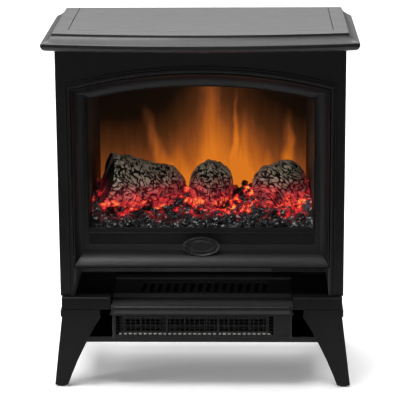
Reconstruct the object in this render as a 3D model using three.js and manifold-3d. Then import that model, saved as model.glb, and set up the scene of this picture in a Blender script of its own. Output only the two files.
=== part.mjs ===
// Free-standing electric stove: a bow-fronted top, an arched window with logs and a flame screen,
// an alcove under the window sill and a fan heater between four splayed legs.
// Millimetres. X runs to the right as seen from the front, the front faces -Y, Z is up.
// The origin is on the floor, under the middle of the whole stove.
import * as THREE from 'three';
import { mergeVertices } from 'three/addons/utils/BufferGeometryUtils.js';
import Module from 'manifold-3d';

// Driving dimensions.
const WIDTH = 490;
const DEPTH = 290;
const HEIGHT = 577;
const GAP = 0.3;
const BACK = DEPTH / 2;
const FRONT = -DEPTH / 2;
const SHEET = 2;

// Top slab.
const SLAB_BASE = 549;
const SLAB_BOW = 23;
const SLAB_HALF = WIDTH / 2;
const BOW_RADIUS = (SLAB_HALF ** 2 + SLAB_BOW ** 2) / (2 * SLAB_BOW);
const BOW_AXIS_Y = FRONT + BOW_RADIUS;
const INSET_MARGIN = 50;
const INSET_HALF = 206;
const INSET_DEPTH = 3;

// Body.
const BODY_HALF = 225;
const BODY_FRONT = -106;
const BODY_BASE = 153.8;
const BODY_TOP = SLAB_BASE - GAP;
const PANEL = 2;
const FASCIA_FACE = BODY_FRONT + 2;
const FASCIA_BACK = BODY_FRONT + 8;

// Arches of the window and its mouldings share one centre below the stove.
const ARCH_CENTRE_Z = -285.4;
const MOULDING_RADIUS = 810;
const MOULDING_HALF = 211;
const FASCIA_HOLE_RADIUS = 799.7;
const FASCIA_HOLE_HALF = 202.6;
const COVE = 20.5;
const COVE_DEPTH = 22;
const RAIL_FACE = -84;
const PANE_RADIUS = 776.2;
const PANE_HALF = 179.5;
const COVE_FOOT = 226;
const SILL_FRONT_Z = COVE_FOOT - COVE;
const SILL_RISE = 28;
const PANE_BASE = 260.5;
const SURROUND_BASE = 198;
const GLASS_FRONT = -80;
const GLASS_BACK = -77;

// Fire chamber.
const CHAMBER_BACK = 45;
const CHEEK_BACK_HALF = 168.5;
const CHAMBER_TOP = 492.5;
const BED_BASE = 243;
const BED_TOP = 278;

// Lamp tray, alcove and base.
const TRAY_Z = 200;
const SHELF_Z = 241;
const RISER_Y = 56;
const REAR_PANEL_FRONT = 138;
const ALCOVE_BACK = 28;
const ALCOVE_HALF = 202;
const PLINTH_HALF = 223;
const PLINTH_FRONT = -112;
const PLINTH_BACK = 143;
const PLINTH_BASE = 133;
const PLINTH_TOP = 153.5;
const BAY_HALF = 144.7;
const BAY_BACK = 90;
const PAN_FRONT = -98;
const PAN_BASE = 74;
const PAN_RAIL_TOP = 83.5;
const COLLAR_BASE = 121.5;
const HEARTH_DROP = 2.5;

// Legs.
const LEG_TOP = 122.5;
const PAD = 3;
const LEG_WALL = 5;
const LEG_HOLLOW_BASE = 29;

// Fan heater.
const HOOD_HALF = 140.7;
const BRIM_HALF = 144.2;
const CASING_TOP = 137.8;
const CASING_HALF = 143;
const FAN_Y = 48;
const FAN_Z = 115.5;
const FAN_RADIUS = 26;
const SHAFT_RADIUS = 3;
const BORE_RADIUS = 3.4;
const FAN_BLADES = 12;

// Flicker rod.
const ROD_Y = 73;
const ROD_Z = 270;

// Controls on the back wall of the alcove.
const CONTROL_Z = 176;
const GLAND_X = 180;
const GLAND_Z = 171;
const ROCKER_AXIS_Y = 29;
const ROCKER_XS = [124, 140, 156];
const KNOB_X = 182;

const wasm = await Module();
wasm.setup();

const group = new THREE.Group();
group.name = 'electric_stove';

// Turns a three.js geometry into a solid that can be joined and cut.
function solid(geometry) {
  const bare = geometry.index ? geometry.toNonIndexed() : geometry.clone();
  bare.deleteAttribute('normal');
  bare.deleteAttribute('uv');
  const merged = mergeVertices(bare, 1e-4);
  const vertProperties = merged.attributes.position.array;
  const triVerts = new Uint32Array(merged.index.array);
  return new wasm.Manifold(new wasm.Mesh({ numProp: 3, vertProperties, triVerts }));
}

// Adds a finished solid to the group as a named mesh with its own material.
function piece(name, shape, finish) {
  const { vertProperties, triVerts } = shape.getMesh();
  const geometry = new THREE.BufferGeometry();
  geometry.setAttribute('position', new THREE.BufferAttribute(vertProperties, 3));
  geometry.setIndex(new THREE.BufferAttribute(triVerts, 1));
  geometry.computeVertexNormals();
  const mesh = new THREE.Mesh(geometry, new THREE.MeshStandardMaterial(finish));
  mesh.name = name;
  group.add(mesh);
}

const joined = (first, ...others) => others.reduce((whole, next) => whole.add(next), first);
const cut = (first, ...others) => others.reduce((whole, next) => whole.subtract(next), first);

function block([x0, x1], [y0, y1], [z0, z1]) {
  const box = new THREE.BoxGeometry(x1 - x0, y1 - y0, z1 - z0);
  return solid(box.translate((x0 + x1) / 2, (y0 + y1) / 2, (z0 + z1) / 2));
}

// The same block on the left (side -1) or the right (side 1) of the stove.
function sideBlock(side, [near, far], ys, zs) {
  return block(side > 0 ? [near, far] : [-far, -near], ys, zs);
}

const outline = (points) => new THREE.Shape(points.map(([u, v]) => new THREE.Vector2(u, v)));

// Prisms of a flat outline: along X from [y, z] points, along Y from [x, z], along Z from [x, y].
function prismX(points, [x0, x1]) {
  const geometry = new THREE.ExtrudeGeometry(outline(points), { depth: x1 - x0, bevelEnabled: false });
  const turn = new THREE.Matrix4().makeBasis(
    new THREE.Vector3(0, 1, 0),
    new THREE.Vector3(0, 0, 1),
    new THREE.Vector3(1, 0, 0),
  );
  return solid(geometry.applyMatrix4(turn).translate(x0, 0, 0));
}

function prismY(shape, [y0, y1], curveSegments = 24) {
  const settings = { depth: y1 - y0, bevelEnabled: false, curveSegments };
  const geometry = new THREE.ExtrudeGeometry(shape, settings);
  return solid(geometry.rotateX(Math.PI / 2).translate(0, y1, 0));
}

function prismZ(points, [z0, z1]) {
  const geometry = new THREE.ExtrudeGeometry(outline(points), { depth: z1 - z0, bevelEnabled: false });
  return solid(geometry.translate(0, 0, z0));
}

// A round bar along X, Y or Z.
function bar(axis, radius, [from, to], a, b, sides = 20) {
  const geometry = new THREE.CylinderGeometry(radius, radius, to - from, sides);
  const middle = (from + to) / 2;
  if (axis === 'x') return solid(geometry.rotateZ(Math.PI / 2).translate(middle, a, b));
  if (axis === 'y') return solid(geometry.translate(a, middle, b));
  return solid(geometry.rotateX(Math.PI / 2).translate(a, b, middle));
}

// A turned shape: [radius, distance] points along the axis, from the axis back to the axis.
function turned(profile, sides) {
  const points = profile.map(([radius, along]) => new THREE.Vector2(radius, along));
  return new THREE.LatheGeometry(points, sides);
}

// Window outlines: upright sides, a flat foot and a shallow arch for a head.
function archShape(half, foot, radius) {
  const shape = new THREE.Shape();
  const corner = Math.acos(half / radius);
  shape.moveTo(-half, foot);
  shape.lineTo(half, foot);
  shape.absarc(0, ARCH_CENTRE_Z, radius, corner, Math.PI - corner, false);
  shape.closePath();
  return shape;
}

const satinBlack = { color: 0x1b1b1c, roughness: 0.45, metalness: 0.1 };
const castBlack = { color: 0x26272a, roughness: 0.55, metalness: 0.1 };
const mouldedBlack = { color: 0x151516, roughness: 0.6 };
const innerSteel = { color: 0x8a8d8f, roughness: 0.4, metalness: 0.8 };
const cheekBrown = { color: 0x3a332d, roughness: 0.7 };
const clearGlass = { color: 0xbfd0d0, roughness: 0.05, transparent: true, opacity: 0.3 };
const flameFilm = { color: 0xd9772a, roughness: 0.6, emissive: 0xb34a10 };
const barkResin = { color: 0x6b5a4a, roughness: 0.9 };
const emberResin = { color: 0x8c2a12, roughness: 0.9, emissive: 0x5a1206 };
const brassGold = { color: 0xb08d3c, roughness: 0.35, metalness: 0.9 };
const whiteCeramic = { color: 0xe8e6df, roughness: 0.4 };
const rubberBlack = { color: 0x101010, roughness: 0.9 };

// Edge of the top slab as [inset, height above its base]: an under-cove, a lip, a hollow bevel
// and a small step up to the flat top.
function slabEdge() {
  const edge = [[16, 0]];
  const steps = 3;
  for (let i = 0; i <= steps; i += 1) {
    const angle = (i / steps) * (Math.PI / 2);
    edge.push([1 + 13 * (1 - Math.sin(angle)), 1 + 6.5 * (1 - Math.cos(angle))]);
  }
  edge.push([0, 8.5], [0, 13.5]);
  for (let i = 0; i <= steps; i += 1) {
    const angle = (i / steps) * (Math.PI / 2);
    edge.push([1.4 + 15 * Math.sin(angle), 14.8 + 8.7 * (1 - Math.cos(angle))]);
  }
  edge.push([16.4, HEIGHT - SLAB_BASE - 0.6], [17, HEIGHT - SLAB_BASE]);
  return edge;
}

// A disc about the bow's axis, wide enough that only its front edge meets the stove.
function bowDisc(edge, base) {
  const sides = 240;
  const profile = [[0, edge[0][1]]];
  edge.forEach(([inset, height]) => profile.push([BOW_RADIUS - inset, height]));
  profile.push([0, edge[edge.length - 1][1]]);
  return solid(turned(profile, sides).rotateX(Math.PI / 2).translate(0, BOW_AXIS_Y, base));
}

function makeTop() {
  const edge = slabEdge();
  const right = edge.map(([inset, height]) => [SLAB_HALF - inset, SLAB_BASE + height]);
  const left = right.map(([x, z]) => [-x, z]).reverse();
  const across = prismY(outline([...right, ...left]), [FRONT - 1, BACK]);
  const underside = block([-212, 212], [-88, BACK - 12], [SLAB_BASE - 1, HEIGHT - INSET_DEPTH - 3]);
  const panelDisc = (margin) => bowDisc([[margin, 0], [margin, 10]], HEIGHT - INSET_DEPTH);
  const recessBox = block([-INSET_HALF, INSET_HALF], [FRONT, BACK + 1], [500, HEIGHT + 1]);
  const recess = panelDisc(INSET_MARGIN).intersect(recessBox);
  const rim = 0.8;
  const panelBox = block(
    [-INSET_HALF + rim, INSET_HALF - rim],
    [FRONT, BACK],
    [HEIGHT - INSET_DEPTH + GAP, HEIGHT],
  );
  const slab = cut(bowDisc(edge, SLAB_BASE).intersect(across), underside, recess);
  piece('top_slab', slab, satinBlack);
  piece('top_inset_panel', panelDisc(INSET_MARGIN + rim).intersect(panelBox), satinBlack);
}

function makeCasing() {
  [['left', -1], ['right', 1]].forEach(([name, side]) => {
    const panel = sideBlock(
      side,
      [BODY_HALF - PANEL, BODY_HALF],
      [FASCIA_BACK + GAP, BACK],
      [BODY_BASE, BODY_TOP],
    );
    piece(`${name}_side_panel`, panel, satinBlack);
  });
  const rearHalf = BODY_HALF - PANEL - GAP;
  const rearYs = [REAR_PANEL_FRONT, REAR_PANEL_FRONT + PANEL];
  let rear = block([-rearHalf, rearHalf], rearYs, [BODY_BASE, BODY_TOP]);
  const slotYs = [rearYs[0] - 1, rearYs[1] + 1];
  for (let row = 0; row < 6; row += 1) {
    const z = 484 + row * 9;
    rear = cut(rear, block([-110, -10], slotYs, [z, z + 4]), block([10, 110], slotYs, [z, z + 4]));
  }
  const gland = bar('y', 7.3, slotYs, GLAND_X, GLAND_Z);
  piece('rear_panel', cut(rear, gland), satinBlack);
}

function makeFascia() {
  const plate = block([-BODY_HALF, BODY_HALF], [FASCIA_FACE, FASCIA_BACK], [BODY_BASE, BODY_TOP]);
  const mouldingOutline = archShape(MOULDING_HALF, BODY_BASE, MOULDING_RADIUS);
  const moulding = prismY(mouldingOutline, [BODY_FRONT, FASCIA_FACE + 1]);
  const hole = archShape(FASCIA_HOLE_HALF, BODY_BASE - 1, FASCIA_HOLE_RADIUS);
  const opening = prismY(hole, [BODY_FRONT - 1, FASCIA_BACK + 1]);
  piece('front_fascia', cut(joined(plate, moulding), opening), satinBlack);
}

// The hollow quarter round that runs round the window, as the solid that it is cut with.
function coveCutter(shrink) {
  const shape = archShape(PANE_HALF - shrink, COVE_FOOT + shrink, PANE_RADIUS - shrink);
  const settings = {
    depth: 30,
    bevelThickness: COVE_DEPTH,
    bevelSize: COVE,
    bevelSegments: 4,
    curveSegments: 14,
  };
  const geometry = new THREE.ExtrudeGeometry(shape, settings);
  geometry.rotateX(Math.PI / 2).translate(0, RAIL_FACE - COVE_DEPTH - shrink, 0);
  // The sill under the window climbs higher than the hollow beside it is wide.
  const corners = geometry.attributes.position;
  for (let i = 0; i < corners.count; i += 1) {
    const rise = corners.getZ(i) - SILL_FRONT_Z;
    if (rise < COVE + shrink + 0.1) corners.setZ(i, SILL_FRONT_Z + (rise * SILL_RISE) / COVE);
  }
  return solid(geometry);
}

function makeWindow() {
  const outer = archShape(FASCIA_HOLE_HALF - GAP, SURROUND_BASE, FASCIA_HOLE_RADIUS - GAP);
  const frame = prismY(outer, [BODY_FRONT + 1, GLASS_FRONT - GAP]);
  const pane = prismY(archShape(PANE_HALF, PANE_BASE, PANE_RADIUS), [RAIL_FACE - 2, GLASS_BACK]);
  piece('window_surround', cut(frame, coveCutter(0), pane), satinBlack);

  const badgeZ = SILL_FRONT_Z + SILL_RISE - 1.2;
  const oval = new THREE.Shape().absellipse(0, badgeZ, 30, 15.5, 0, Math.PI * 2, false, 0);
  const plate = prismY(oval, [RAIL_FACE - 10, RAIL_FACE - GAP]);
  piece('badge', plate.intersect(coveCutter(GAP)), castBlack);

  const glass = archShape(PANE_HALF + 8, PANE_BASE - 9, PANE_RADIUS + 8);
  piece('window_glass', prismY(glass, [GLASS_FRONT, GLASS_BACK]), clearGlass);
}

function makeChamber() {
  const cheekFront = GLASS_BACK + GAP;
  const cheekBack = CHAMBER_BACK - GAP;
  [['left', -1], ['right', 1]].forEach(([name, side]) => {
    const plan = [
      [side * PANE_HALF, cheekFront],
      [side * (PANE_HALF + SHEET), cheekFront],
      [side * (CHEEK_BACK_HALF + SHEET), cheekBack],
      [side * CHEEK_BACK_HALF, cheekBack],
    ];
    piece(`chamber_cheek_${name}`, prismZ(plan, [BED_BASE, CHAMBER_TOP]), cheekBrown);
  });
  const roof = block([-190, 190], [cheekFront, cheekBack], [CHAMBER_TOP + GAP, CHAMBER_TOP + SHEET]);
  piece('chamber_roof', roof, cheekBrown);
  const screen = block([-174, 174], [CHAMBER_BACK, CHAMBER_BACK + 3], [SHELF_Z + 5, CHAMBER_TOP + 2]);
  piece('flame_screen', screen, flameFilm);

  // Cut-out sheet whose holes throw the flame shapes onto the screen.
  const sheet = outline([[-166, SHELF_Z + 5], [166, SHELF_Z + 5], [166, 453], [-166, 453]]);
  [[-118, 34, 100], [-62, 30, 128], [0, 40, 168], [64, 30, 134], [120, 32, 104]].forEach(([x, w, h]) => {
    const flame = new THREE.Path();
    const foot = 270;
    flame.moveTo(x, foot);
    flame.quadraticCurveTo(x + w, foot + h * 0.2, x + w * 0.3, foot + h * 0.6);
    flame.quadraticCurveTo(x + w * 0.1, foot + h * 0.8, x + w * 0.15, foot + h);
    flame.quadraticCurveTo(x - w * 0.3, foot + h * 0.75, x - w * 0.35, foot + h * 0.5);
    flame.quadraticCurveTo(x - w, foot + h * 0.2, x, foot);
    sheet.holes.push(flame);
  });
  piece('flame_cutout', prismY(sheet, [CHAMBER_BACK + 5, CHAMBER_BACK + 6], 5), innerSteel);
}

// A lump of coal or ash: a rough eight-sided stone.
function lump(x, y, z, radius, squash) {
  const stone = new THREE.IcosahedronGeometry(radius, 0).scale(1, 0.85, squash);
  return solid(stone.rotateZ(x * 0.37 + y).translate(x, y, z));
}

// A rounded, tapering log from one end point to the other, with a flat cut underneath.
function log([x0, y0, z0, r0], [x1, y1, z1, r1]) {
  const from = new THREE.Vector3(x0, y0, z0);
  const to = new THREE.Vector3(x1, y1, z1);
  const length = from.distanceTo(to);
  const profile = [
    [0, 0],
    [r0 * 0.75, 0],
    [r0 * 0.97, 5],
    [r0, length * 0.2],
    [(r0 + r1) / 2 + 1.5, length * 0.55],
    [r1, length * 0.85],
    [r1 * 0.72, length * 0.97],
    [0, length],
  ];
  const shape = turned(profile, 14);
  const turn = new THREE.Quaternion().setFromUnitVectors(
    new THREE.Vector3(0, 1, 0),
    to.clone().sub(from).normalize(),
  );
  shape.applyQuaternion(turn).translate(x0, y0, z0);
  const above = block([-175, 175], [-70, CHAMBER_BACK - 2], [BED_TOP + GAP, 420]);
  return solid(shape).intersect(above);
}

function makeFire() {
  const front = GLASS_BACK + 0.8;
  const back = CHAMBER_BACK - 0.8;
  const slope = [
    [front, BED_BASE],
    [back, BED_BASE],
    [back, BED_TOP],
    [-40, BED_TOP],
    [-60, BED_TOP - 11],
    [front, BED_TOP - 25.5],
  ];
  const halves = [PANE_HALF - 1, CHEEK_BACK_HALF - 1];
  const plan = [[-halves[0], front], [halves[0], front], [halves[1], back], [-halves[1], back]];
  const hollow = block([-160, 160], [-66, 36], [BED_BASE - 1, BED_BASE + 7]);
  let bed = cut(prismX(slope, [-PANE_HALF, PANE_HALF]), hollow);
  for (let i = 0; i < 15; i += 1) {
    const x = -160 + i * 22.8;
    const y = -62 + 4 * Math.sin(i * 2.4);
    bed = joined(bed, lump(x, y, BED_TOP - 13 + 3 * Math.sin(i * 1.7), 11 + 2 * Math.cos(i * 3.1), 0.8));
  }
  const inside = prismZ(plan, [BED_BASE, BED_TOP + 20]);
  piece('ember_bed', bed.intersect(inside), emberResin);

  piece('log_left', log([-152, -24, 326, 42], [-29, 7, 301, 28]), barkResin);
  piece('log_centre', log([-20, -10, 316.5, 37], [43, 2, 311.5, 39]), barkResin);
  piece('log_right', log([81, -6, 303, 32], [167, 2, 320, 39]), barkResin);
}

function makeLamps() {
  const floorTop = TRAY_Z + SHEET;
  const shelfTop = SHELF_Z + SHEET;
  const back = REAR_PANEL_FRONT - GAP;
  const tray = [
    [GLASS_FRONT + GAP, TRAY_Z],
    [RISER_Y + SHEET, TRAY_Z],
    [RISER_Y + SHEET, SHELF_Z],
    [back, SHELF_Z],
    [back, shelfTop],
    [RISER_Y, shelfTop],
    [RISER_Y, floorTop],
    [GLASS_FRONT + GAP, floorTop],
  ];
  piece('lamp_tray', prismX(tray, [-ALCOVE_HALF + 1, ALCOVE_HALF - 1]), innerSteel);

  const lampZ = 222;
  const holderFront = 30;
  [['left', -75], ['right', 75]].forEach(([name, x]) => {
    const holder = cut(
      bar('y', 14, [holderFront, RISER_Y - GAP], x, lampZ),
      bar('y', 8.5, [holderFront - 1, 48], x, lampZ),
    );
    piece(`lampholder_${name}`, holder, whiteCeramic);
    const bulb = [[0, 0], [6, 4], [14, 20], [17, 36], [15.5, 48], [10, 60], [8, 66], [8, 80], [0, 82]];
    const lamp = turned(bulb, 16).translate(x, holderFront - 66, lampZ);
    piece(`lamp_${name}`, solid(lamp), clearGlass);
  });
}

function makeFlicker() {
  const shelfTop = SHELF_Z + SHEET + GAP;
  const vaneReach = 13;
  let rod = bar('x', SHAFT_RADIUS, [-161, 170], ROD_Y, ROD_Z, 16);
  for (let i = 0; i < 3; i += 1) {
    const from = -140 + i * 95;
    for (let blade = 0; blade < 2; blade += 1) {
      const vane = new THREE.BoxGeometry(88, vaneReach * 2, 1);
      vane.rotateX(i * 0.5 + (blade * Math.PI) / 2).translate(from + 44, ROD_Y, ROD_Z);
      rod = joined(rod, solid(vane));
    }
  }
  piece('flicker_rod', rod, innerSteel);

  const bracket = cut(
    block([-158, -156], [ROD_Y - 12, ROD_Y + 12], [shelfTop, ROD_Z + 12]),
    bar('x', 6, [-159, -155], ROD_Y, ROD_Z),
  );
  piece('flicker_bracket', bracket, innerSteel);
  const bush = cut(
    bar('x', 6 - GAP, [-160, -153], ROD_Y, ROD_Z),
    bar('x', BORE_RADIUS, [-161, -152], ROD_Y, ROD_Z),
  );
  piece('flicker_bush', bush, brassGold);
  const motor = cut(
    joined(
      bar('x', 18, [152, 176], ROD_Y, ROD_Z, 24),
      block([152, 154], [ROD_Y - 20, ROD_Y + 20], [shelfTop, ROD_Z]),
    ),
    bar('x', BORE_RADIUS, [151, 172], ROD_Y, ROD_Z),
  );
  piece('flicker_motor', motor, innerSteel);
}

function makeBase() {
  // The plinth: a moulded frame with a rounded front ledge, open in the middle for the heater.
  const side = [
    [PLINTH_FRONT, PLINTH_BASE],
    [PLINTH_BACK, PLINTH_BASE],
    [PLINTH_BACK, PLINTH_TOP],
    [PLINTH_FRONT + 4, PLINTH_TOP],
    [PLINTH_FRONT + 1.2, PLINTH_TOP - 1.2],
    [PLINTH_FRONT, PLINTH_TOP - 4],
  ];
  let plinth = prismX(side, [-PLINTH_HALF, PLINTH_HALF]);
  const bayYs = [PLINTH_FRONT - 1, BAY_BACK];
  plinth = cut(plinth, block([-BAY_HALF, BAY_HALF], bayYs, [PLINTH_BASE - 10, PLINTH_TOP + 10]));
  [-1, 1].forEach((hand) => {
    const pocket = sideBlock(hand, [150, PLINTH_HALF - 4], [-44, 72], [PLINTH_BASE - 1, PLINTH_TOP - 5]);
    const hearthYs = [-92, ALCOVE_BACK - 1];
    const hearth = sideBlock(hand, [162, ALCOVE_HALF], hearthYs, [PLINTH_TOP - HEARTH_DROP, PLINTH_TOP + 10]);
    plinth = cut(plinth, pocket, hearth);
  });
  piece('base_frame', plinth, satinBlack);

  // Lining of the alcove: a sheet folded round its sides and back.
  const inner = ALCOVE_HALF;
  const outer = ALCOVE_HALF + SHEET;
  const frontY = FASCIA_BACK + GAP;
  const backY = ALCOVE_BACK + SHEET;
  const liningPlan = [
    [-outer, frontY],
    [-inner, frontY],
    [-inner, ALCOVE_BACK],
    [inner, ALCOVE_BACK],
    [inner, frontY],
    [outer, frontY],
    [outer, backY],
    [-outer, backY],
  ];
  const lining = cut(
    prismZ(liningPlan, [PLINTH_TOP + GAP, SURROUND_BASE - GAP]),
    block([ROCKER_XS[0] - 9, ROCKER_XS[2] + 9], [20, 35], [CONTROL_Z - 13, CONTROL_Z + 13]),
    bar('y', 5, [20, 35], KNOB_X, CONTROL_Z),
  );
  piece('alcove_lining', lining, mouldedBlack);

  const panHalf = 205;
  const panBack = 128;
  const panWall = 2.5;
  const wallTop = COLLAR_BASE - GAP;
  const pan = [
    [PAN_FRONT, PAN_BASE],
    [panBack, PAN_BASE],
    [panBack, wallTop],
    [panBack - panWall, wallTop],
    [panBack - panWall, PAN_BASE + SHEET],
    [PAN_FRONT + panWall, PAN_BASE + SHEET],
    [PAN_FRONT + panWall, PAN_RAIL_TOP],
    [PAN_FRONT, PAN_RAIL_TOP],
  ];
  // Its rear wall reaches the plinth between the two rear collars, and its side walls stop below them.
  const rearWall = block([-161.5, 161.5], [panBack - panWall, panBack], [wallTop - 1, PLINTH_BASE - GAP]);
  const sideWalls = [-1, 1].map((side) =>
    sideBlock(side, [panHalf - panWall, panHalf], [PAN_FRONT, panBack], [PAN_BASE, wallTop]));
  piece('base_pan', joined(prismX(pan, [-panHalf, panHalf]), rearWall, ...sideWalls), satinBlack);
}

// One leg of the four: splayed and tapering, hollow behind its two outer walls, with a collar on
// top. side is -1 on the left, end is -1 at the front.
function leg(side, end) {
  const foot = PAD + GAP;
  const yOf = (y) => (end < 0 ? y : PLINTH_FRONT + PLINTH_BACK - y);
  const face = [[160, LEG_TOP], [174, 99], [187, 73], [199.5, 46.5], [210, 20.5], [216.5, foot]];
  face.push([237.5, foot], [223, LEG_TOP]);
  const flank = [[-112, LEG_TOP], [-104, foot], [-83, foot], [-74, 31], [-62, 82.5], [-50, LEG_TOP]];
  const sloped = (inX, inY) => {
    const faceShape = outline(face.map(([x, z]) => [side * (x - inX), z]));
    const flankPoints = flank.map(([y, z]) => [yOf(y + inY), z]);
    return prismY(faceShape, [-130, 160]).intersect(prismX(flankPoints, [-250, 250]));
  };
  const band = block([-250, 250], [-150, 150], [LEG_HOLLOW_BASE, LEG_TOP]);
  const walls = cut(sloped(0, 0), sloped(LEG_WALL, LEG_WALL).intersect(band));
  const collarYs = [yOf(-113), yOf(-49)].sort((a, b) => a - b);
  const collar = sideBlock(side, [162, BODY_HALF], collarYs, [COLLAR_BASE, PLINTH_BASE - GAP]);
  return joined(walls, collar);
}

function makeLegs() {
  [['front', -1], ['rear', 1]].forEach(([endName, end]) => {
    [['left', -1], ['right', 1]].forEach(([sideName, side]) => {
      piece(`leg_${endName}_${sideName}`, leg(side, end), castBlack);
      const y = end < 0 ? -93.5 : PLINTH_FRONT + PLINTH_BACK + 93.5;
      const pad = bar('z', 8.5, [0, PAD], side * 227, y, 20);
      piece(`glide_${endName}_${sideName}`, pad, rubberBlack);
    });
  });
}

function makeHeaterShell() {
  // Hood: a pressed cover with a slotted top, a low ledge behind the slots, and a riser and a
  // lower band in front of them. Its roof overhangs the side walls, and runs back under the lining.
  const wall = 2.5;
  const topZ = 147.7;
  const bandZ = 140.6;
  const footZ = 125.7;
  const rearY = 27;
  const brimY = 40;
  const ledgeY = 5;
  const ledgeZ = 151;
  const riserY = -72;
  const skin = (back) => [
    [back, footZ],
    [back, ledgeZ],
    [ledgeY, ledgeZ],
    [ledgeY, topZ],
    [riserY, topZ],
    [riserY, bandZ],
    [PLINTH_FRONT, bandZ],
    [PLINTH_FRONT, footZ],
  ];
  const room = [
    [brimY + 1, footZ - 1],
    [brimY + 1, ledgeZ - wall],
    [ledgeY + wall, ledgeZ - wall],
    [ledgeY + wall, topZ - wall],
    [riserY + wall, topZ - wall],
    [riserY + wall, bandZ - wall],
    [PLINTH_FRONT + wall, bandZ - wall],
    [PLINTH_FRONT + wall, footZ - 1],
  ];
  const roof = cut(
    prismX(skin(brimY), [-BRIM_HALF, BRIM_HALF]),
    prismX(room, [-BRIM_HALF - 1, BRIM_HALF + 1]),
  );
  const sides = cut(
    prismX(skin(rearY), [-HOOD_HALF, HOOD_HALF]),
    prismX(room, [-HOOD_HALF + wall, HOOD_HALF - wall]),
  );
  let hood = joined(roof, sides);
  const slots = 16;
  const pitch = 13;
  const slant = 3;
  for (let i = 0; i < slots; i += 1) {
    const x = (i - (slots - 1) / 2) * pitch - 2;
    const plan = [[x, -62], [x + 6.5, -62], [x + 6.5 + slant, -8], [x + slant, -8]];
    hood = cut(hood, prismZ(plan, [topZ - 4, topZ + 1]));
  }
  piece('heater_hood', hood, mouldedBlack);

  // Visor: the rounded lip over the outlet, turned down at both ends.
  const lipSide = [
    [PLINTH_FRONT - GAP, footZ],
    [PLINTH_FRONT - GAP, bandZ - GAP],
    [-114.5, bandZ - 0.5],
    [-117, bandZ - 2.5],
    [-118, bandZ - 5],
    [-117.5, footZ],
  ];
  const kneeZ = bandZ - 5.5;
  const underZ = bandZ - 8;
  const lipFace = [[-147, footZ], [-142.5, kneeZ], [-139, bandZ], [139, bandZ], [142.5, kneeZ]];
  lipFace.push([147, footZ], [142, footZ], [139, underZ], [-139, underZ], [-142, footZ]);
  const visor = prismX(lipSide, [-150, 150]).intersect(prismY(outline(lipFace), [-125, -100]));
  piece('heater_visor', visor, satinBlack);

  // Outlet grille: three open bays and a solid end in front of the fan motor.
  const grilleYs = [PLINTH_FRONT + GAP, -106.2];
  const barYs = [grilleYs[0] + 1, grilleYs[1] - 1];
  const low = 91.5;
  const high = 122;
  const openFrom = -137;
  const openTo = 114;
  let grille = block([-HOOD_HALF, HOOD_HALF], grilleYs, [86, footZ - GAP]);
  grille = cut(grille, block([openFrom, openTo], [-120, -100], [low, high]));
  for (let z = low + 6.2; z < high - 2; z += 7.2) {
    grille = joined(grille, block([openFrom - 1, openTo + 1], barYs, [z - 0.8, z + 0.8]));
  }
  [-96, -55.6, -15, 25.5, 70].forEach((x) => {
    grille = joined(grille, block([x - 1.5, x + 1.5], grilleYs, [low - 1, high + 1]));
  });
  piece('outlet_grille', grille, mouldedBlack);
}

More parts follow.
